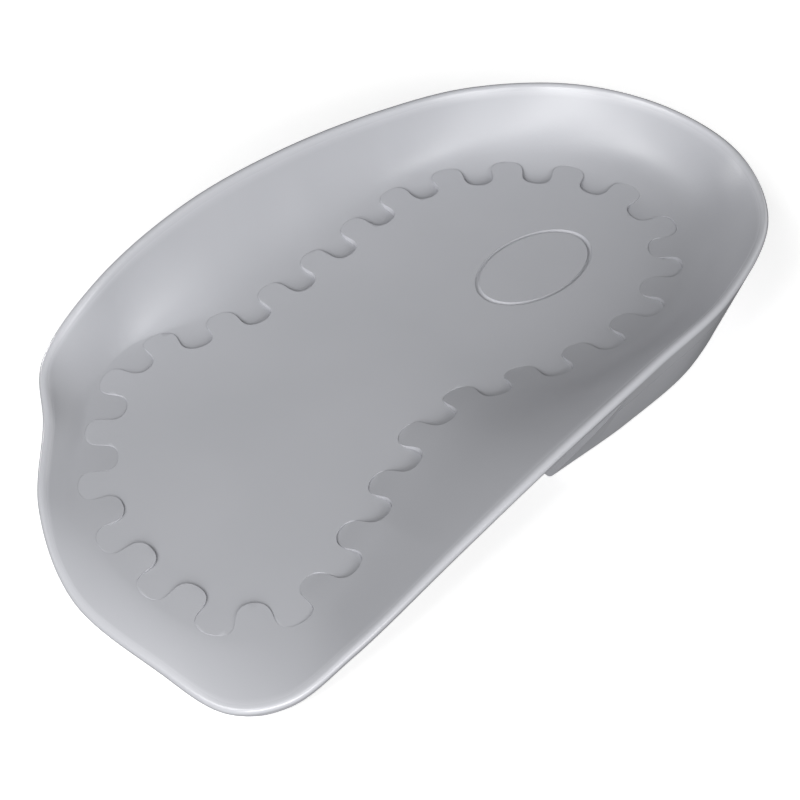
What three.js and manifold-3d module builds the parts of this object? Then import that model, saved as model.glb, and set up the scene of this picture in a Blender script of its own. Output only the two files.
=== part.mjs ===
// Heel cup for a left foot: a thin moulded shell with a solid heel base, and a toothed pad let into its
// floor.
// Millimetres, +Z up. X runs across the foot (the little toe's side is +X) and Y along it (the heel is +Y).
import * as THREE from 'three';
import { mergeVertices } from 'three/addons/utils/BufferGeometryUtils.js';
import Module from 'manifold-3d';

// Outline of the rim, seen from above
const LENGTH = 126;          // front edge to the back of the heel
const HEEL_WIDTH = 66;       // across the rim at the heel
const LATERAL_REACH = 38;    // from the middle line to the outer side, at the front
const ARCH_REACH = 34.4;     // from the middle line to the arch side

// Heights
const HEEL_DEPTH = 9.2;      // rim over the floor, at the heel
const ARCH_DEPTH = 12.9;     // rim over the floor, at the arch
const HEEL_LIFT = 3.6;       // how much higher the floor lies at the heel than at the front
const SHELL_THICKNESS = 1.7; // shell under the pad
const FRONT_EDGE = 1.5;      // front edge over the ground

// Wall and rim
const WALL_RUN = 12;         // width of the wall, from the middle of the teeth to the rim
const RIM_WIDTH = 1.4;       // rounded top of the rim
const RIM_DEPTH = 1.6;       // thickness of the shell at the rim
const BASE_ROUND = 1;        // eased lower edge of the heel base
const BASE_LENGTH = 62;      // flat heel base, from the back of the heel
const BASE_FACE_LEAN = 35;   // lean of the base's front face, in degrees from upright

// Pad
const PAD_THICKNESS = 1.3;
const PAD_BEVEL = 0.2;       // eased edge of the pad
const TOOTH_PITCH = 10;      // aim; the real pitch divides the edge evenly
const TOOTH_HEIGHT = 5.3;    // valley to tip
const TOOTH_BULGE = 0.085;   // how far a tooth bulges sideways, as a share of the pitch
const TOOTH_SHIFT = -0.15;   // where the first tip lies, as a share of the pitch
const TOOTH_STEP = 1;        // step between the pad and the shell at the teeth
const CLEARANCE = 0.3;       // gap all round the pad in its pocket

// Fineness of the meshes
const STATIONS_ROUND = 126;
const STEPS_PER_TOOTH = 10;
const DIP_STEPS = 2;
const WALL_STEPS = 6;
const NOSE_STEPS = 4;
const CURVE_STEPS = 1200;    // steps a curve is measured in

// Cutting bodies, which only have to reach past the cup
const CUT_BEYOND = 4 * RIM_WIDTH;
const CUT_DEPTH = 10;
const CUT_SIZE = 3 * LENGTH;

const FLOOR_STACK = SHELL_THICKNESS + CLEARANCE + PAD_THICKNESS;
const LIP_DROP = FLOOR_STACK - FRONT_EDGE;
const SPINE = { front: 0.3 * LENGTH, heel: 0.66 * LENGTH };
const RAD = Math.PI / 180;

// The rim, station by station, anticlockwise from the middle of the front edge. x and y are its place, rise
// its height over the floor and run the width of the wall there. flat, turn and bend shape the wall between
// the teeth and the rim: the share of its width before it starts to bend up, the share where it has turned,
// and the share of its height reached there. dip is how much lower the shell lies at the valleys of the teeth
// than at their tips, level how level it is there, and tip how far it lies over the pad at the tips. draft is
// the lean of the outer wall, in degrees from upright.
const L = LENGTH;
const HH = HEEL_WIDTH / 2;
const [LR, AR, HD, AD] = [LATERAL_REACH, ARCH_REACH, HEEL_DEPTH, ARCH_DEPTH];
const [LD, WR, TS] = [LIP_DROP, WALL_RUN, TOOTH_STEP];
const stationTable = [
  // x, y, rise, run, flat, turn, bend, dip, level, tip, draft
  [0.13 * LR, 0.013 * L, -LD, 0.71 * WR, 0.25, 0.7, 0.5, -0.7 * TS, 0, -0.1 * TS, 17],
  [0.55 * LR, 0.025 * L, -LD, 0.71 * WR, 0.25, 0.7, 0.5, -0.8 * TS, 0, -0.15 * TS, 17],
  [0.84 * LR, 0.046 * L, -LD, 0.92 * WR, 0.25, 0.7, 0.5, -0.65 * TS, 0, -0.1 * TS, 17],
  [0.965 * LR, 0.093 * L, -0.4 * LD, 1.02 * WR, 0.3, 0.7, 0.45, -0.2 * TS, 0, 0, 17],
  [1.0 * LR, 0.165 * L, 0.27 * HD, 1.03 * WR, 0.33, 0.67, 0.6, 0.6 * TS, 0, 0.5 * TS, 18],
  [0.968 * LR, 0.31 * L, 0.59 * HD, 1.3 * WR, 0.33, 0.67, 0.66, 1.3 * TS, 0, 1.2 * TS, 21],
  [0.935 * LR, 0.46 * L, 0.89 * HD, 1.76 * WR, 0.33, 0.67, 0.66, 1.55 * TS, 0, 1.45 * TS, 24],
  [1.014 * HH, 0.635 * L, 1.01 * HD, 1.16 * WR, 0.33, 0.67, 0.64, 1.5 * TS, 0, 1.4 * TS, 15],
  [0.94 * HH, 0.78 * L, HD, 1.05 * WR, 0.33, 0.67, 0.6, 1.4 * TS, 0, 1.2 * TS, 14],
  [0.71 * HH, 0.918 * L, HD, 1.18 * WR, 0.33, 0.6, 0.65, 1.1 * TS, 0, 0.8 * TS, 16],
  [0.3 * HH, 0.99 * L, HD, 1.12 * WR, 0.45, 0.55, 0.14, 0.7 * TS, 0.6, 0.2 * TS, 17],
  [-0.15 * HH, 0.992 * L, 1.02 * HD, 1.04 * WR, 0.45, 0.55, 0.12, 0.9 * TS, 0.9, 0, 17],
  [-0.56 * HH, 0.94 * L, 1.05 * HD, 0.97 * WR, 0.3, 0.5, 0.2, 1.1 * TS, 1.2, 0, 17],
  [-0.87 * HH, 0.83 * L, 1.12 * HD, 0.78 * WR, 0.3, 0.5, 0.18, 1.2 * TS, 1.2, 0, 17],
  [-1.0 * HH, 0.698 * L, 0.88 * AD, 0.66 * WR, 0.3, 0.5, 0.18, 1.2 * TS, 1.2, 0, 17],
  [-1.0 * AR, 0.54 * L, 0.98 * AD, 1.0 * WR, 0.3, 0.6, 0.2, 1 * TS, 1.2, 0, 17],
  [-0.98 * AR, 0.393 * L, 0.98 * AD, 1.14 * WR, 0.3, 0.6, 0.2, 0.8 * TS, 1, 0, 17],
  [-0.9 * AR, 0.254 * L, 0.79 * AD, 0.64 * WR, 0.1, 0.5, 0.25, 0.4 * TS, 0.5, 0, 17],
  [-0.79 * AR, 0.155 * L, 0.4 * AD, 0.79 * WR, 0.2, 0.5, 0.35, 0.2 * TS, 0.5, 0, 17],
  [-0.55 * AR, 0.111 * L, 0.24 * AD, 0.62 * WR, 0.2, 0.6, 0.35, 0.15 * TS, 0, 0, 17],
  [-0.25 * AR, 0.048 * L, 0.06 * AD, 0.64 * WR, 0.3, 0.7, 0.35, -0.1 * TS, 0, 0, 17],
];
const stations = stationTable.map(([x, y, rise, run, flat, turn, bend, dip, level, tip, draft]) => (
  { x, y, rise, run, flat, turn, bend, dip, level, tip, draft }));

// The floor is a plane that rises from the front of the pad to its heel end.
const FLOOR_FRONT = 0.08 * LENGTH;
const FLOOR_HEEL = 0.9 * LENGTH;
const FLOOR_SLOPE = HEEL_LIFT / (FLOOR_HEEL - FLOOR_FRONT);
const floorHeight = (y) => FLOOR_STACK + FLOOR_SLOPE * (y - FLOOR_FRONT);

// Round the cup: the rim and the wall's measures at a share u of the way round, and the direction from the
// rim towards the nearest point of the spine, a line along the middle of the floor.
const rimCurve = new THREE.CatmullRomCurve3(
  stations.map((s) => new THREE.Vector3(s.x, s.y, s.rise)), true, 'centripetal');
const along = (x, y, z) => new THREE.CatmullRomCurve3(
  stations.map((s) => new THREE.Vector3(s[x], s[y], s[z])), true, 'catmullrom', 0.5);
const wallCurve = along('run', 'flat', 'turn');
const stepCurve = along('bend', 'dip', 'level');
const tipCurve = along('tip', 'draft', 'draft');
rimCurve.arcLengthDivisions = CURVE_STEPS;

function stationAt(u) {
  const t = rimCurve.getUtoTmapping(u);
  const rim = rimCurve.getPoint(t);
  const [wall, step, tip] = [wallCurve, stepCurve, tipCurve].map((curve) => curve.getPoint(t));
  const spineY = THREE.MathUtils.clamp(rim.y, SPINE.front, SPINE.heel);
  const inward = new THREE.Vector2(-rim.x, spineY - rim.y).normalize();
  return {
    rim: new THREE.Vector2(rim.x, rim.y),
    rise: rim.z,
    run: wall.x,
    flat: wall.y,
    turn: wall.z,
    bend: step.x,
    dip: step.y,
    level: step.z,
    tip: tip.x,
    draft: tip.y * RAD,
    inward,
  };
}

const ringStations = Array.from({ length: STATIONS_ROUND }, (_, i) => stationAt(i / STATIONS_ROUND));

// One station's section of the inner wall, as points { out, height }: out is measured outwards from the
// rim's middle line, so it is negative on the wall, and height from the floor plane. The first point is at
// the valleys of the teeth. taper runs from 0 at the tips to 1 at the rim.
function wallSection(station) {
  const { rise, run, flat, turn, bend, dip, level, tip } = station;
  const radius = RIM_WIDTH / 2;
  const width = run - TOOTH_HEIGHT / 2;
  const climb = rise - tip;
  const points = [];
  for (let i = 0; i <= DIP_STEPS; i += 1) {
    const q = i / DIP_STEPS;
    const drop = dip * ((1 - q) * (1 - level) + (1 - q * q) * level);
    points.push({ out: -width - TOOTH_HEIGHT * (1 - q), height: tip - drop, taper: 0 });
  }
  const startSlope = (dip * (1 + level)) / TOOTH_HEIGHT;
  const endAngle = Math.atan2((1 - bend) * climb, (1 - turn) * width);
  const end = new THREE.Vector2(-radius * Math.sin(endAngle), rise - radius + radius * Math.cos(endAngle));
  const curve = new THREE.CubicBezierCurve(
    new THREE.Vector2(-width, tip),
    new THREE.Vector2(-width + flat * width, tip + startSlope * flat * width),
    new THREE.Vector2(-width + turn * width, tip + bend * climb),
    end);
  for (let i = 1; i <= WALL_STEPS; i += 1) {
    const p = curve.getPoint(i / WALL_STEPS);
    points.push({ out: p.x, height: p.y, taper: i / WALL_STEPS });
  }
  return { points, endAngle };
}

// A point of a station's section, set in space.
function place(station, out, z) {
  return new THREE.Vector3(station.rim.x - station.inward.x * out, station.rim.y - station.inward.y * out, z);
}

function placeOverFloor(station, out, height) {
  const p = place(station, out, 0);
  return p.setZ(floorHeight(p.y) + height);
}

// A closed body from rings of equal length, the first capped on top and the last capped below.
function bodyFromRings(rings) {
  const count = rings[0].length;
  const positions = rings.flat().flatMap((p) => [p.x, p.y, p.z]);
  const index = [];
  for (let r = 0; r + 1 < rings.length; r += 1) {
    for (let i = 0; i < count; i += 1) {
      const next = (i + 1) % count;
      const [a, b] = [r * count + i, r * count + next];
      const [c, d] = [(r + 1) * count + i, (r + 1) * count + next];
      index.push(a, c, d, a, d, b);
    }
  }
  const cap = (ring) => THREE.ShapeUtils.triangulateShape(ring.map((p) => new THREE.Vector2(p.x, p.y)), []);
  const last = (rings.length - 1) * count;
  cap(rings[0]).forEach(([a, b, c]) => index.push(a, b, c));
  cap(rings[rings.length - 1]).forEach(([a, b, c]) => index.push(last + a, last + c, last + b));
  const geometry = new THREE.BufferGeometry();
  geometry.setAttribute('position', new THREE.Float32BufferAttribute(positions, 3));
  geometry.setIndex(index);
  return geometry;
}

// Turns a list of sections, one for each station, into rings.
const toRings = (sections) => sections[0].map((_, k) => sections.map((section) => section[k]));

// The cup as a solid block: bowl, rounded rim, leaning outer wall and flat base.
function blockGeometry() {
  const radius = RIM_WIDTH / 2;
  const sections = ringStations.map((station) => {
    const { points, endAngle } = wallSection(station);
    const section = points.map((p) => placeOverFloor(station, p.out, p.height));
    const noseZ = floorHeight(station.rim.y) + station.rise - radius;
    const from = Math.PI / 2 + endAngle;
    const to = -station.draft;
    for (let i = 1; i <= NOSE_STEPS; i += 1) {
      const angle = THREE.MathUtils.lerp(from, to, i / NOSE_STEPS);
      section.push(place(station, radius * Math.cos(angle), noseZ + radius * Math.sin(angle)));
    }
    const wallTop = noseZ + radius * Math.sin(to);
    const round = Math.min(BASE_ROUND, wallTop / 2);
    const foot = radius * Math.cos(to) - (wallTop - round) * Math.tan(station.draft);
    section.push(place(station, foot, round));
    section.push(place(station, foot - round, 0));
    return section;
  });
  return bodyFromRings(toRings(sections));
}

// What the block loses below: all that lies under the shell, ahead of the heel base.
function undersideGeometry() {
  const sections = ringStations.map((station) => {
    const { points } = wallSection(station);
    const section = points.map((p) => {
      const thickness = THREE.MathUtils.lerp(FLOOR_STACK + station.tip, RIM_DEPTH, p.taper);
      return placeOverFloor(station, p.out, p.taper > 0 ? p.height - thickness : -FLOOR_STACK);
    });
    const rimUnder = floorHeight(station.rim.y) + station.rise - RIM_DEPTH;
    section.push(place(station, CUT_BEYOND, rimUnder));
    section.push(place(station, CUT_BEYOND, -CUT_DEPTH));
    return section;
  });
  return bodyFromRings(toRings(sections));
}

// Everything ahead of the heel base's front face, which leans back as it rises.
function frontRegionGeometry() {
  const box = new THREE.BoxGeometry(CUT_SIZE, CUT_SIZE, CUT_SIZE);
  box.translate(0, -CUT_SIZE / 2, 0);
  box.rotateX(-BASE_FACE_LEAN * RAD);
  box.translate(0, LENGTH - BASE_LENGTH, 0);
  return box;
}

// The pad's edge: a closed line midway between the tips and the valleys, with evenly spaced round teeth on
// it. grow moves the whole edge outwards.
function toothedOutline(grow) {
  const middle = new THREE.CatmullRomCurve3(
    ringStations.filter((_, i) => i % 2 === 0).map((s) => place(s, -s.run, 0)), true, 'centripetal');
  middle.arcLengthDivisions = CURVE_STEPS;
  const teeth = Math.round(middle.getLength() / TOOTH_PITCH);
  const count = teeth * STEPS_PER_TOOTH;
  const outline = Array.from({ length: count }, (_, i) => {
    const phase = (2 * Math.PI * i) / STEPS_PER_TOOTH;
    const along = i / STEPS_PER_TOOTH + TOOTH_SHIFT + TOOTH_BULGE * Math.sin(2 * phase);
    const u = THREE.MathUtils.euclideanModulo(along / teeth, 1);
    const p = middle.getPointAt(u);
    const tangent = middle.getTangentAt(u);
    const out = (TOOTH_HEIGHT / 2) * Math.cos(phase);
    return new THREE.Vector2(p.x + tangent.y * out, p.y - tangent.x * out);
  });
  return outline.map((p, i) => {
    const before = outline[(i + count - 1) % count];
    const after = outline[(i + 1) % count];
    const side = new THREE.Vector2(after.y - before.y, before.x - after.x).normalize();
    return p.clone().addScaledVector(side, grow);
  });
}

// Tilts a flat extrusion into the floor plane and lifts it, so that its underside lies at a height over the
// floor.
function layOnFloor(geometry, height) {
  geometry.rotateX(Math.atan(FLOOR_SLOPE));
  return geometry.translate(0, 0, floorHeight(0) + height);
}

function padGeometry() {
  const geometry = new THREE.ExtrudeGeometry(new THREE.Shape(toothedOutline(0)), {
    depth: PAD_THICKNESS - 2 * PAD_BEVEL,
    bevelEnabled: true,
    bevelThickness: PAD_BEVEL,
    bevelSize: PAD_BEVEL,
    bevelOffset: -PAD_BEVEL,
    bevelSegments: 1,
  });
  return layOnFloor(geometry, PAD_BEVEL - PAD_THICKNESS);
}

function pocketGeometry() {
  const geometry = new THREE.ExtrudeGeometry(new THREE.Shape(toothedOutline(CLEARANCE)), {
    depth: PAD_THICKNESS + CLEARANCE + HEEL_DEPTH + ARCH_DEPTH,
    bevelEnabled: false,
  });
  return layOnFloor(geometry, -PAD_THICKNESS - CLEARANCE);
}

// Joins and cuts
const wasm = await Module();
wasm.setup();

function toSolid(geometry) {
  const bare = geometry.clone();
  bare.deleteAttribute('normal');
  bare.deleteAttribute('uv');
  const merged = mergeVertices(bare, 1e-5);
  return new wasm.Manifold(new wasm.Mesh({
    numProp: 3,
    vertProperties: new Float32Array(merged.attributes.position.array),
    triVerts: new Uint32Array(merged.index.array),
  }));
}

function toGeometry(solid) {
  const mesh = solid.getMesh();
  const geometry = new THREE.BufferGeometry();
  geometry.setAttribute('position', new THREE.BufferAttribute(new Float32Array(mesh.vertProperties), 3));
  geometry.setIndex(new THREE.BufferAttribute(new Uint32Array(mesh.triVerts), 1));
  geometry.computeVertexNormals();
  return geometry;
}

function shellGeometry() {
  const underside = toSolid(undersideGeometry()).intersect(toSolid(frontRegionGeometry()));
  return toGeometry(toSolid(blockGeometry()).subtract(underside).subtract(toSolid(pocketGeometry())));
}

const shellMaterial = new THREE.MeshStandardMaterial({ color: 0xb4b6bb, roughness: 0.45, metalness: 0 });
const padMaterial = new THREE.MeshStandardMaterial({ color: 0xa6a8ad, roughness: 0.55, metalness: 0 });

const shell = new THREE.Mesh(shellGeometry(), shellMaterial);
shell.name = 'cup_shell';
const pad = new THREE.Mesh(toGeometry(toSolid(padGeometry())), padMaterial);
pad.name = 'toothed_pad';

// The origin is the middle of the whole cup, on the ground.
const heelCup = new THREE.Group();
heelCup.add(shell, pad);
const box = new THREE.Box3().setFromObject(heelCup);
const centre = box.getCenter(new THREE.Vector3());
heelCup.position.set(-centre.x, -centre.y, -box.min.z);

export default heelCup;
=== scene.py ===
import math

import bmesh
import bpy
import numpy as np
from mathutils import Matrix, Vector
from mathutils.kdtree import KDTree


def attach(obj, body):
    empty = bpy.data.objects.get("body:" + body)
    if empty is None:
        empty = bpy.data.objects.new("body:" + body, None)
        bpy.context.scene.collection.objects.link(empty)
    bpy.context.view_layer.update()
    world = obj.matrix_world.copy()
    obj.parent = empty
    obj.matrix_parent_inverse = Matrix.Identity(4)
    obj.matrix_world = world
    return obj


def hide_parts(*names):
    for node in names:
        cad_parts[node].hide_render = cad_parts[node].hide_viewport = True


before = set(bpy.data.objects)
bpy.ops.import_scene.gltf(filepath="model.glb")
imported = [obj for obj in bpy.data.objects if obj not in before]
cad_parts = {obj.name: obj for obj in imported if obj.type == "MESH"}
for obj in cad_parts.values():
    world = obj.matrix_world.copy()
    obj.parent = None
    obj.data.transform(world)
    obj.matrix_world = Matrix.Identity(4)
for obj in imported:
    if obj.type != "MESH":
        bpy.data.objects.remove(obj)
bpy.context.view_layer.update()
MM = 0.001

# The camera
# A close view from above the outer side of the cup's front edge, 46 degrees over the cup's floor.
FLOOR_RISE, FLOOR_RUN = 3.6, 103.32
FLOOR_LEAN = math.atan(FLOOR_RISE / FLOOR_RUN)  # the cup's floor rises towards the heel
LOOK_AT = Vector((6.922, -8.643, 4.865)) * MM
CAMERA_OFFSET = Vector((122.91, -110.67, 171.27)) * MM

camera_data = bpy.data.cameras.new("camera")
camera_data.lens = 75
camera_data.sensor_width = 36
camera_data.clip_start = 0.01
camera = bpy.data.objects.new("camera", camera_data)
bpy.context.scene.collection.objects.link(camera)
lean = Matrix.Rotation(FLOOR_LEAN, 4, "X")
aim = (-CAMERA_OFFSET).to_track_quat("-Z", "Y").to_matrix().to_4x4()
camera.matrix_world = Matrix.Translation(LOOK_AT) @ lean @ Matrix.Translation(CAMERA_OFFSET) @ aim
bpy.context.scene.camera = camera

# The cup's shell
# One moulding in a light grey satin elastomer, with a solid heel base, a thin front, a trimmed round rim and
# a toothed pocket for the pad. Along the arch side it lies lower than the pad between the teeth, along the
# outer side higher than the pad at their tips, and at the front a little higher all along.
LENGTH, HALF_HEEL, LATERAL_REACH, ARCH_REACH = 126, 33, 38, 34.4
HEEL_DEPTH, ARCH_DEPTH, LIP_DROP = 9.2, 12.9, 1.8
FLOOR_STACK, PAD_THICKNESS, PAD_GAP = 3.3, 1.3, 0.3
FLOOR_START = 0.08 * LENGTH  # where the floor is FLOOR_STACK over the ground
WALL_RUN, RIM_WIDTH, RIM_DEPTH = 12, 1.4, 1.6
BASE_ROUND = 1
BASE_LENGTH, BASE_FACE_LEAN = 62, math.radians(35)
SPINE_FRONT, SPINE_HEEL = 0.3 * LENGTH, 0.66 * LENGTH
CUP_MIDDLE = Vector((1.778, 63.643, 0))  # the frame's origin, in the rim table's own measures

# Round the rim from the middle of the front edge: place across and along, height over the floor, width of the
# wall, three shares that bend it (where it starts, where it has turned up, and the height reached there), the
# step down at the valleys of the teeth, how level it is there, the height at their tips over the pad, and the
# lean of the outer wall in degrees.
across, along = LATERAL_REACH, LENGTH
rim_table = [
    (0.13 * across, 0.013 * along, -LIP_DROP, 0.71, 0.25, 0.7, 0.5, -0.45, 0, -0.05, 17),
    (0.55 * across, 0.025 * along, -LIP_DROP, 0.71, 0.25, 0.7, 0.5, -0.45, 0, -0.05, 17),
    (0.84 * across, 0.046 * along, -LIP_DROP, 0.92, 0.25, 0.7, 0.5, -0.4, 0, -0.04, 17),
    (0.965 * across, 0.093 * along, -0.4 * LIP_DROP, 1.02, 0.3, 0.7, 0.45, -0.2, 0, 0, 17),
    (1.0 * across, 0.165 * along, 0.27 * HEEL_DEPTH, 1.03, 0.33, 0.67, 0.6, 0.6, 0, 0.4, 18),
    (0.968 * across, 0.31 * along, 0.59 * HEEL_DEPTH, 1.3, 0.33, 0.67, 0.66, 1.2, 0, 0.9, 21),
    (0.935 * across, 0.46 * along, 0.89 * HEEL_DEPTH, 1.76, 0.33, 0.67, 0.66, 1.4, 0, 1.1, 24),
    (1.014 * HALF_HEEL, 0.635 * along, 1.01 * HEEL_DEPTH, 1.16, 0.33, 0.67, 0.64, 1.3, 0, 1.0, 15),
    (0.94 * HALF_HEEL, 0.78 * along, HEEL_DEPTH, 1.05, 0.33, 0.67, 0.6, 1.2, 0, 0.9, 14),
    (0.71 * HALF_HEEL, 0.918 * along, HEEL_DEPTH, 1.18, 0.33, 0.6, 0.65, 1.0, 0, 0.65, 16),
    (0.3 * HALF_HEEL, 0.99 * along, HEEL_DEPTH, 1.12, 0.45, 0.55, 0.14, 0.7, 0.6, 0.2, 17),
    (-0.15 * HALF_HEEL, 0.992 * along, 1.02 * HEEL_DEPTH, 1.04, 0.45, 0.55, 0.12, 0.9, 0.9, 0, 17),
    (-0.56 * HALF_HEEL, 0.94 * along, 1.05 * HEEL_DEPTH, 0.97, 0.3, 0.5, 0.2, 1.1, 1.2, 0, 17),
    (-0.87 * HALF_HEEL, 0.83 * along, 1.12 * HEEL_DEPTH, 0.78, 0.3, 0.5, 0.18, 1.2, 1.2, 0, 17),
    (-1.0 * HALF_HEEL, 0.698 * along, 0.88 * ARCH_DEPTH, 0.66, 0.3, 0.5, 0.18, 1.2, 1.2, 0, 17),
    (-1.0 * ARCH_REACH, 0.54 * along, 0.98 * ARCH_DEPTH, 1.0, 0.3, 0.6, 0.2, 1, 1.2, 0, 17),
    (-0.98 * ARCH_REACH, 0.393 * along, 0.98 * ARCH_DEPTH, 1.14, 0.3, 0.6, 0.2, 0.8, 1, 0, 17),
    (-0.9 * ARCH_REACH, 0.254 * along, 0.79 * ARCH_DEPTH, 0.64, 0.1, 0.5, 0.25, 0.4, 0.5, 0, 17),
    (-0.79 * ARCH_REACH, 0.155 * along, 0.4 * ARCH_DEPTH, 0.79, 0.2, 0.5, 0.35, 0.2, 0.5, 0, 17),
    (-0.55 * ARCH_REACH, 0.111 * along, 0.24 * ARCH_DEPTH, 0.62, 0.2, 0.6, 0.35, 0.15, 0, 0, 17),
    (-0.25 * ARCH_REACH, 0.048 * along, 0.06 * ARCH_DEPTH, 0.64, 0.3, 0.7, 0.35, -0.1, 0, 0, 17),
]

# How finely the shell is made, in steps round the rim and along each stretch of a section
ROUND_THE_RIM, CURVE_STEPS = 480, 1200
DIP_STEPS, WALL_STEPS, NOSE_STEPS, FOOT_STEPS = 5, 16, 8, 4


def floor_height(y):
    """The height of the cup's floor over the ground, at a place along it."""
    return FLOOR_STACK + math.tan(FLOOR_LEAN) * (y - FLOOR_START)


def flow_through(knots, at, even=False):
    """Points of the closed smooth line through the knots, at counts of knots. even spaces them alike."""
    knots = np.asarray(knots, float)
    before = np.floor(at).astype(int)
    w = (at - before)[:, None]
    p0, p1, p2, p3 = (knots[(before + k) % len(knots)] for k in (-1, 0, 1, 2))
    if even:
        pull_in, pull_out = 0.5 * (p2 - p0), 0.5 * (p3 - p1)
    else:
        legs = (p1 - p0, p2 - p1, p3 - p2)
        d0, d1, d2 = (np.linalg.norm(leg, axis=1)[:, None] ** 0.5 for leg in legs)
        pull_in = d1 * ((p1 - p0) / d0 - (p2 - p0) / (d0 + d1) + (p2 - p1) / d1)
        pull_out = d1 * ((p2 - p1) / d1 - (p3 - p1) / (d1 + d2) + (p3 - p2) / d2)
    c2 = -3 * p1 + 3 * p2 - 2 * pull_in - pull_out
    c3 = 2 * p1 - 2 * p2 + pull_in + pull_out
    return p1 + pull_in * w + c2 * w**2 + c3 * w**3


def paced(knots, shares):
    """Counts of knots at shares of the way round the smooth line, by its length."""
    fine = np.linspace(0, len(knots), CURVE_STEPS + 1)
    steps = np.linalg.norm(np.diff(flow_through(knots, fine), axis=0), axis=1)
    run = np.concatenate([[0], np.cumsum(steps)])
    return np.interp(np.asarray(shares) % 1 * run[-1], run, fine)


def wall_stations(count):
    """The rim and the wall's measures at even steps round the cup."""
    rim_knots = [row[:3] for row in rim_table]
    at = paced(rim_knots, np.arange(count) / count)
    rim = flow_through(rim_knots, at)
    measures = flow_through([row[3:] for row in rim_table], at, even=True)
    spine = np.clip(rim[:, 1], SPINE_FRONT, SPINE_HEEL)
    inward = np.stack([-rim[:, 0], spine - rim[:, 1]], axis=1)
    inward /= np.linalg.norm(inward, axis=1)[:, None]
    names = ("flat", "turn", "bend", "dip", "level", "tip", "draft")
    return [
        dict(x=r[0], y=r[1], rise=r[2], run=m[0] * WALL_RUN, inward=i, **dict(zip(names, m[1:])))
        for r, m, i in zip(rim, measures, inward)
    ]


def beside_rim(station, out, z):
    """A point of a station's section, out from the rim's middle line, in the cup's frame and in metres."""
    x = station["x"] - station["inward"][0] * out
    y = station["y"] - station["inward"][1] * out
    return (Vector((x, y, z)) - CUP_MIDDLE) * MM


def over_floor(station, out, height):
    """The same, at a height over the cup's floor."""
    y = station["y"] - station["inward"][1] * out
    return beside_rim(station, out, floor_height(y) + height)


# The teeth that lock the pad into the shell: how many, how high, where the first one stands, and how far
# each bulges past its root, both as shares of a tooth
TEETH, TOOTH_HEIGHT, TOOTH_SHIFT, TOOTH_BULGE = 27, 5.3, -0.15, 0.085
STEPS_PER_TOOTH, EDGE_KNOTS = 28, 63
LOOK_AHEAD = 1e-3  # in knots, to find which way the edge runs


def toothed_edge(grow, height):
    """The pad's edge, moved outwards by grow, at a height over the floor."""
    knots = [beside_rim(s, -s["run"], 0)[:2] for s in wall_stations(EDGE_KNOTS)]
    i = np.arange(TEETH * STEPS_PER_TOOTH)
    phase = 2 * math.pi * i / STEPS_PER_TOOTH
    at = paced(knots, (i / STEPS_PER_TOOTH + TOOTH_SHIFT + TOOTH_BULGE * np.sin(2 * phase)) / TEETH)
    middle = flow_through(knots, at)
    ahead = flow_through(knots, at + LOOK_AHEAD) - flow_through(knots, at - LOOK_AHEAD)
    ahead /= np.linalg.norm(ahead, axis=1)[:, None]
    side = np.stack([ahead[:, 1], -ahead[:, 0]], axis=1)
    edge = middle + side * (TOOTH_HEIGHT / 2 * MM * np.cos(phase))[:, None]
    run = np.roll(edge, -1, axis=0) - np.roll(edge, 1, axis=0)
    run /= np.linalg.norm(run, axis=1)[:, None]
    edge = edge + np.stack([run[:, 1], -run[:, 0]], axis=1) * (grow * MM)
    lift = [floor_height(y / MM + CUP_MIDDLE.y) * MM + height * MM for y in edge[:, 1]]
    return [Vector((x, y, z)) for (x, y), z in zip(edge, lift)]


def bowl_section(station):
    """Out, height over the floor and share of the way up the wall, from the teeth's valleys up to the rim."""
    tips, tip = TOOTH_HEIGHT / 2 - station["run"], station["tip"]
    width, climb = -tips, station["rise"] - station["tip"]
    dip, level = station["dip"], station["level"]
    section = []
    for q in np.linspace(0, 1, DIP_STEPS + 1):
        drop = dip * ((1 - q) * (1 - level) + (1 - q * q) * level)
        section.append((tips - TOOTH_HEIGHT * (1 - q), tip - drop, 0))
    radius, start = RIM_WIDTH / 2, dip * (1 + level) / TOOTH_HEIGHT
    lean_back = math.atan2((1 - station["bend"]) * climb, (1 - station["turn"]) * width)
    handles = np.array([
        (tips, tip),
        (tips + station["flat"] * width, tip + start * station["flat"] * width),
        (tips + station["turn"] * width, tip + station["bend"] * climb),
        (-radius * math.sin(lean_back), station["rise"] - radius + radius * math.cos(lean_back)),
    ])
    for q in np.linspace(0, 1, WALL_STEPS + 1)[1:]:
        weights = np.array([(1 - q) ** 3, 3 * q * (1 - q) ** 2, 3 * q * q * (1 - q), q**3])
        section.append((*(weights @ handles), q))
    return section, lean_back


def block_section(station):
    """Up the bowl, over the rounded rim and down the outer wall to its eased edge on the ground."""
    bowl, lean_back = bowl_section(station)
    section = [over_floor(station, out, height) for out, height, _ in bowl]
    radius = RIM_WIDTH / 2
    nose = floor_height(station["y"]) + station["rise"] - radius
    draft = math.radians(station["draft"])
    for angle in np.linspace(math.pi / 2 + lean_back, -draft, NOSE_STEPS + 1)[1:]:
        section.append(beside_rim(station, radius * math.cos(angle), nose + radius * math.sin(angle)))
    wall_top = nose - radius * math.sin(draft)
    ease = min(BASE_ROUND, wall_top / 2)
    foot = radius * math.cos(draft) - (wall_top - ease) * math.tan(draft)
    section.append(beside_rim(station, foot, ease))
    for angle in np.linspace(0, math.pi / 2, FOOT_STEPS + 1)[1:]:
        out = foot - ease * (1 - math.cos(angle))
        section.append(beside_rim(station, out, ease * (1 - math.sin(angle))))
    return section


# How far the cutter for the hollow reaches out from the rim and down under the ground
PAST_RIM, PAST_GROUND = 6, 10


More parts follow.
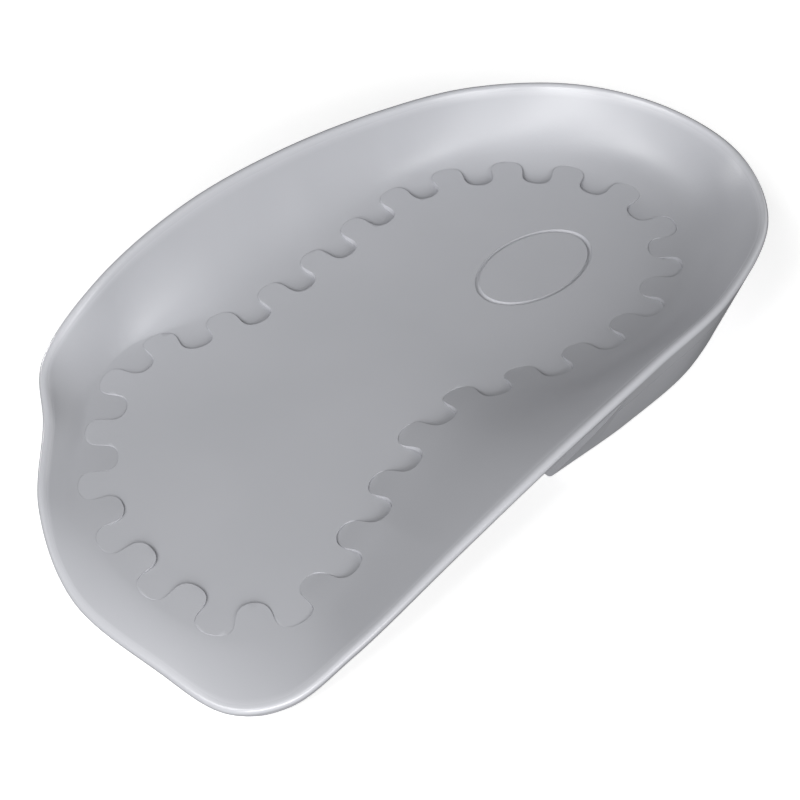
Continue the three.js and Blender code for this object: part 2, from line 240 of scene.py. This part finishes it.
def hollow_section(station):
    """The shell's lower face from the teeth to under the rim, then on out and down, clear of the shell."""
    below = []
    for out, height, climb in bowl_section(station)[0]:
        stack = FLOOR_STACK + station["tip"]
        thickness = stack + (RIM_DEPTH - stack) * climb
        below.append(over_floor(station, out, height - thickness if climb else -FLOOR_STACK))
    rim_under = floor_height(station["y"]) + station["rise"] - RIM_DEPTH
    below.append(beside_rim(station, PAST_RIM, rim_under))
    below.append(beside_rim(station, PAST_RIM, -PAST_GROUND))
    return below


def start_ring(mesh, places):
    """A closed ring of edges, each vertex numbered by its turn round the cup."""
    turn = mesh.verts.layers.int.get("turn") or mesh.verts.layers.int.new("turn")
    ring = bmesh.ops.create_circle(mesh, segments=len(places), radius=1)["verts"]
    for i, v in enumerate(ring):
        v[turn] = i
        v.co = places[i]
    return [e for e in mesh.edges if e.is_wire]


def pull_ring(mesh, ring, places):
    """Extrudes a ring of edges and moves each new vertex to its own place."""
    turn = mesh.verts.layers.int["turn"]
    pulled = bmesh.ops.extrude_edge_only(mesh, edges=ring)["geom"]
    fresh = {g for g in pulled if isinstance(g, bmesh.types.BMVert)}
    for v in fresh:
        v.co = places[v[turn]]
    return [e for e in pulled if isinstance(e, bmesh.types.BMEdge) and fresh.issuperset(e.verts)]


def pull_body(rings):
    """A closed mesh pulled from ring to ring, with both ends filled, and the edges of its last ring."""
    mesh = bmesh.new()
    ring = start_ring(mesh, rings[0])
    bmesh.ops.contextual_create(mesh, geom=ring)
    for places in rings[1:]:
        ring = pull_ring(mesh, ring, places)
    bmesh.ops.contextual_create(mesh, geom=ring)
    bmesh.ops.recalc_face_normals(mesh, faces=mesh.faces)
    return mesh, ring


def shown(name, mesh):
    """An object in the scene, made from a finished mesh."""
    data = bpy.data.meshes.new(name)
    mesh.to_mesh(data)
    mesh.free()
    piece = bpy.data.objects.new(name, data)
    bpy.context.scene.collection.objects.link(piece)
    return piece


def carve(piece, tool):
    """Cuts a tool's shape out of a piece, closes and orients the result, and throws the tool away."""
    cut = piece.modifiers.new("cut", "BOOLEAN")
    cut.operation, cut.solver, cut.object = "DIFFERENCE", "EXACT", tool
    depsgraph = bpy.context.evaluated_depsgraph_get()
    done = bpy.data.meshes.new_from_object(piece.evaluated_get(depsgraph))
    shape = bmesh.new()
    shape.from_mesh(done)
    bmesh.ops.remove_doubles(shape, verts=shape.verts, dist=0.001 * MM)
    bmesh.ops.recalc_face_normals(shape, faces=shape.faces)
    shape.to_mesh(done)
    shape.free()
    piece.modifiers.clear()
    piece.data = done
    bpy.data.objects.remove(tool)


stations = wall_stations(ROUND_THE_RIM)
block, _ = pull_body(list(zip(*[block_section(s) for s in stations])))
cup = shown("heel_cup_shell", block)

# The space under the arch and the front is cut away, up to the leaning front face of the heel base.
hollow, _ = pull_body(list(zip(*[hollow_section(s) for s in stations])))
face_at = (Vector((0, LENGTH - BASE_LENGTH, 0)) - CUP_MIDDLE) * MM
face_out = Vector((0, math.cos(BASE_FACE_LEAN), -math.sin(BASE_FACE_LEAN)))
everything = [*hollow.verts, *hollow.edges, *hollow.faces]
cut = bmesh.ops.bisect_plane(hollow, geom=everything, plane_co=face_at, plane_no=face_out, clear_outer=True)
bmesh.ops.holes_fill(hollow, edges=[e for e in cut["geom_cut"] if isinstance(e, bmesh.types.BMEdge)])
bmesh.ops.recalc_face_normals(hollow, faces=hollow.faces)
carve(cup, shown("under_the_shell", hollow))

# The pocket for the pad fits closely round its teeth.
POCKET_EASE, POCKET_TOP = 0.005, 20
pocket, _ = pull_body([
    toothed_edge(POCKET_EASE, -(PAD_THICKNESS + PAD_GAP)),
    toothed_edge(POCKET_EASE, POCKET_TOP),
])
carve(cup, shown("pocket", pocket))


def nearest_of(places):
    """A tree that finds the nearest of some places, by their order round the cup."""
    tree = KDTree(len(places))
    for i, place in enumerate(places):
        tree.insert(place, i)
    tree.balance()
    return tree


def rim_middle(station):
    """The middle of the rim's rounded edge."""
    return beside_rim(station, 0, floor_height(station["y"]) + station["rise"] - RIM_WIDTH / 2)


# How near each point of the shell is to the rim's rounded edge: 1 on it, and 0 from the end distance on.
# This mask marks a painted highlight along the rim, where the colour is made paler, and where the rim is
# glossier.
HIGHLIGHT_END, HIGHLIGHT_FADE = 1, 0.2
rim_line = nearest_of([rim_middle(s) for s in stations])
highlight_mask = cup.data.attributes.new("rim_highlight_and_gloss", "FLOAT", "POINT")
for i, v in enumerate(cup.data.vertices):
    away = rim_line.find(v.co)[2] / MM
    highlight_mask.data[i].value = min(max((HIGHLIGHT_END - away) / HIGHLIGHT_FADE, 0), 1)


def moulded_finish(name, colour, shade, roughness, grain):
    """Moulded satin elastomer: a fine even grain, and slow soft changes of tone and gloss."""
    material = bpy.data.materials.new(name)
    material.use_nodes = True
    nodes, links = material.node_tree.nodes, material.node_tree.links
    shader = nodes["Principled BSDF"]
    place = nodes.new("ShaderNodeTexCoord").outputs["Object"]

    def noise(scale, detail):
        node = nodes.new("ShaderNodeTexNoise")
        node.inputs["Scale"].default_value = scale
        node.inputs["Detail"].default_value = detail
        links.new(place, node.inputs["Vector"])
        return node.outputs["Fac"]

    tone = nodes.new("ShaderNodeValToRGB")
    for stop, position, grey in zip(tone.color_ramp.elements, (0.35, 0.65), (shade, colour)):
        stop.position, stop.color = position, (*grey, 1)
    links.new(noise(scale=45, detail=2), tone.inputs["Fac"])
    links.new(tone.outputs["Color"], shader.inputs["Base Color"])
    gloss = nodes.new("ShaderNodeMapRange")
    gloss.inputs["To Min"].default_value = roughness - 0.05
    gloss.inputs["To Max"].default_value = roughness + 0.05
    links.new(noise(scale=120, detail=3), gloss.inputs["Value"])
    links.new(gloss.outputs["Result"], shader.inputs["Roughness"])
    bump = nodes.new("ShaderNodeBump")
    bump.inputs["Strength"].default_value = grain
    bump.inputs["Distance"].default_value = 0.02 * MM
    links.new(noise(scale=2600, detail=3), bump.inputs["Height"])
    links.new(bump.outputs["Normal"], shader.inputs["Normal"])
    return material


def paint_rim_highlight(material, highlight_colour, gloss):
    """Paints a highlight on the rim: a paler colour, and more gloss, where the piece's rim mask attribute is
    high.
    """
    nodes, links = material.node_tree.nodes, material.node_tree.links
    shader = nodes["Principled BSDF"]
    highlight_at = nodes.new("ShaderNodeAttribute")
    highlight_at.attribute_name = "rim_highlight_and_gloss"
    for name, kind, target in (("Base Color", "RGBA", highlight_colour), ("Roughness", "FLOAT", gloss)):
        was = shader.inputs[name].links[0].from_socket
        mix = nodes.new("ShaderNodeMix")
        mix.data_type = kind
        sockets = [i for i in mix.inputs if i.enabled]
        links.new(highlight_at.outputs["Fac"], sockets[0])
        links.new(was, sockets[1])
        sockets[2].default_value = target
        links.new(next(o for o in mix.outputs if o.enabled), shader.inputs[name])


def finish_moulding(piece, material):
    """Smooth faces with sharp edges only where the moulding has them, in one material."""
    piece.data.materials.clear()
    piece.data.materials.append(material)
    piece.data.shade_smooth()
    piece.data.set_sharp_from_angle(angle=math.radians(35))


cup_grey = moulded_finish("satin_grey_shell", (0.372, 0.377, 0.4), (0.355, 0.36, 0.383), 0.38, 0.3)
# The rim's colour is made paler here as a painted highlight; its lower roughness is real gloss.
paint_rim_highlight(cup_grey, (0.43, 0.435, 0.46, 1), 0.22)
finish_moulding(cup, cup_grey)
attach(cup, "root")
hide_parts("cup_shell")

# The toothed pad
# An inlay of the same elastomer in the cup's floor, moulded with round teeth along its edge. It is a little
# lower in the middle than along the edge, and over the heel it has one plain engraved oval line.
PAD_EDGE_ROUND = 0.05
pad_mesh, top_edge = pull_body([toothed_edge(0, -PAD_THICKNESS), toothed_edge(0, 0)])
bmesh.ops.bevel(
    pad_mesh, geom=top_edge, offset=PAD_EDGE_ROUND * MM, segments=2, affect="EDGES", profile=0.5, material=-1
)

# The flat top is cut into small squares, so that it can be dished.
SQUARE, SQUARES_EACH_WAY = 2, 32
top = [max(pad_mesh.faces, key=lambda f: f.calc_area() * f.normal.z)]
for axis in (Vector((1, 0, 0)), Vector((0, 1, 0))):
    for step in range(-SQUARES_EACH_WAY, SQUARES_EACH_WAY + 1):
        at = axis * step * SQUARE * MM
        parts = {*top, *(e for f in top for e in f.edges), *(v for f in top for v in f.verts)}
        made = bmesh.ops.bisect_plane(pad_mesh, geom=list(parts), plane_co=at, plane_no=axis)["geom"]
        top = [g for g in made if isinstance(g, bmesh.types.BMFace)]

# The dish deepens from the teeth's tips over DISH_REACH. Towards the front it fades out: place along the cup
# from its middle, and share of the dish.
DISH_DEPTH, DISH_REACH = 0.5, 20
TOP_ZONE = 0.5  # points lower than this under the floor stay where they are
FULL_DISH = DISH_DEPTH * (1 + TOOTH_HEIGHT / 2 / DISH_REACH) ** 2
dish_along = ((-45, 0), (-35, 0.07), (-20, 0.5), (-5, 0.93), (5, 1))
edge_line = nearest_of([beside_rim(s, -s["run"], 0).xy.to_3d() for s in stations])
for v in pad_mesh.verts:
    if v.co.z < (floor_height(v.co.y / MM + CUP_MIDDLE.y) - TOP_ZONE) * MM:
        continue
    nearest, i, _ = edge_line.find(v.co.xy.to_3d())
    inward = (v.co - nearest).xy.dot(Vector(stations[i]["inward"])) / MM
    slack = max(1 - inward / DISH_REACH, 0) ** 2
    fade = float(np.interp(v.co.y / MM, *zip(*dish_along)))
    v.co.z -= fade * (FULL_DISH - DISH_DEPTH * slack) * MM
pad = shown("toothed_floor_pad", pad_mesh)

# The oval's line is cut by a round cutter, whose middle runs a little over the pad's surface.
OVAL_LENGTH, OVAL_SHARE, CUTTER_RADIUS, CUTTER_LIFT = 21, 0.62, 0.45, 0.1
HEEL_MIDDLE = Vector((-1, 26.5, 0))
oval = bmesh.new()
line = bmesh.ops.create_circle(oval, segments=16, radius=CUTTER_RADIUS * MM)["verts"]
bmesh.ops.rotate(oval, verts=line, cent=(0, 0, 0), matrix=Matrix.Rotation(math.radians(90), 3, "X"))
bmesh.ops.translate(oval, verts=line, vec=(OVAL_LENGTH / 2 * MM, 0, 0))
bmesh.ops.spin(
    oval, geom=oval.edges[:], cent=(0, 0, 0), axis=(0, 0, 1), angle=math.tau, steps=160, use_merge=True
)
bmesh.ops.recalc_face_normals(oval, faces=oval.faces)
bmesh.ops.scale(oval, verts=oval.verts, vec=(OVAL_SHARE, 1, 1))
cutter_height = floor_height(HEEL_MIDDLE.y + CUP_MIDDLE.y) - FULL_DISH + CUTTER_LIFT
bmesh.ops.rotate(oval, verts=oval.verts, cent=(0, 0, 0), matrix=Matrix.Rotation(FLOOR_LEAN, 3, "X"))
bmesh.ops.translate(oval, verts=oval.verts, vec=(HEEL_MIDDLE + Vector((0, 0, cutter_height))) * MM)
carve(pad, shown("oval_line", oval))
flat_shading = pad.modifiers.new("flat_shading", "WEIGHTED_NORMAL")
flat_shading.weight, flat_shading.keep_sharp = 100, True

pad_grey = moulded_finish("satin_grey_pad", (0.395, 0.4, 0.425), (0.38, 0.386, 0.41), 0.5, 0.35)
finish_moulding(pad, pad_grey)
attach(pad, "root")
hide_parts("toothed_pad")

# The table
# A plain white matt table, six metres wide. It glows a little, so that it shows as white as a studio's floor,
# and it lights nothing.
TABLE_HALF = 3
table_mesh = bmesh.new()
bmesh.ops.create_grid(table_mesh, x_segments=1, y_segments=1, size=TABLE_HALF)
table = shown("table", table_mesh)
white = bpy.data.materials.new("white_table")
white.use_nodes = True
paint = white.node_tree.nodes["Principled BSDF"].inputs
paint["Base Color"].default_value = (0.9, 0.9, 0.9, 1)
paint["Roughness"].default_value = 0.8
paint["Emission Color"].default_value = (1, 1, 1, 1)
paint["Emission Strength"].default_value = 0.45
table.data.materials.append(white)
table.visible_diffuse = table.visible_glossy = False

# The room and its lights
# A dim room, whose backdrop is pale grey to the camera alone, and seven softboxes round the cup. Most of the
# light comes from the front and the outer side.
room = bpy.data.worlds.new("room")
room.use_nodes = True
nodes, links = room.node_tree.nodes, room.node_tree.links
dim = nodes["Background"]
dim.inputs["Color"].default_value = (1, 1, 1, 1)
dim.inputs["Strength"].default_value = 0.01
pale = nodes.new("ShaderNodeBackground")
pale.inputs["Color"].default_value = (0.8, 0.8, 0.8, 1)
seen = nodes.new("ShaderNodeLightPath").outputs["Is Camera Ray"]
backdrop = nodes.new("ShaderNodeMixShader")
links.new(seen, backdrop.inputs["Fac"])
links.new(dim.outputs["Background"], backdrop.inputs[1])
links.new(pale.outputs["Background"], backdrop.inputs[2])
links.new(backdrop.outputs["Shader"], nodes["World Output"].inputs["Surface"])
bpy.context.scene.world = room
bpy.context.scene.view_settings.view_transform = "Standard"

SOFTBOX_DISTANCE = 0.8


def softbox(name, turn, climb, size, power):
    """A square light that faces the cup, from a turn and a climb in degrees. Metres and watts."""
    turn, climb = math.radians(turn), math.radians(climb)
    towards = Vector((math.cos(turn) * math.cos(climb), math.sin(turn) * math.cos(climb), math.sin(climb)))
    facing = towards.to_track_quat("Z", "Y").to_matrix().to_4x4()
    light = bpy.data.lights.new(name, "AREA")
    light.shape, light.size, light.energy = "SQUARE", size, power
    lamp = bpy.data.objects.new(name, light)
    bpy.context.scene.collection.objects.link(lamp)
    lamp.matrix_world = Matrix.Translation(towards * SOFTBOX_DISTANCE) @ facing


softbox("front_softbox", 270, 42, 0.45, 4.0)
softbox("left_softbox", 240, 42, 0.45, 0.6)
softbox("side_softbox", 0, 20, 0.45, 3.1)
softbox("low_softbox", 315, 20, 0.45, 5.8)
softbox("heel_softbox", 90, 20, 0.45, 0.9)
softbox("back_softbox", 155, 50, 0.45, 0.15)
softbox("arch_fill", 195, 4, 0.12, 1.6)
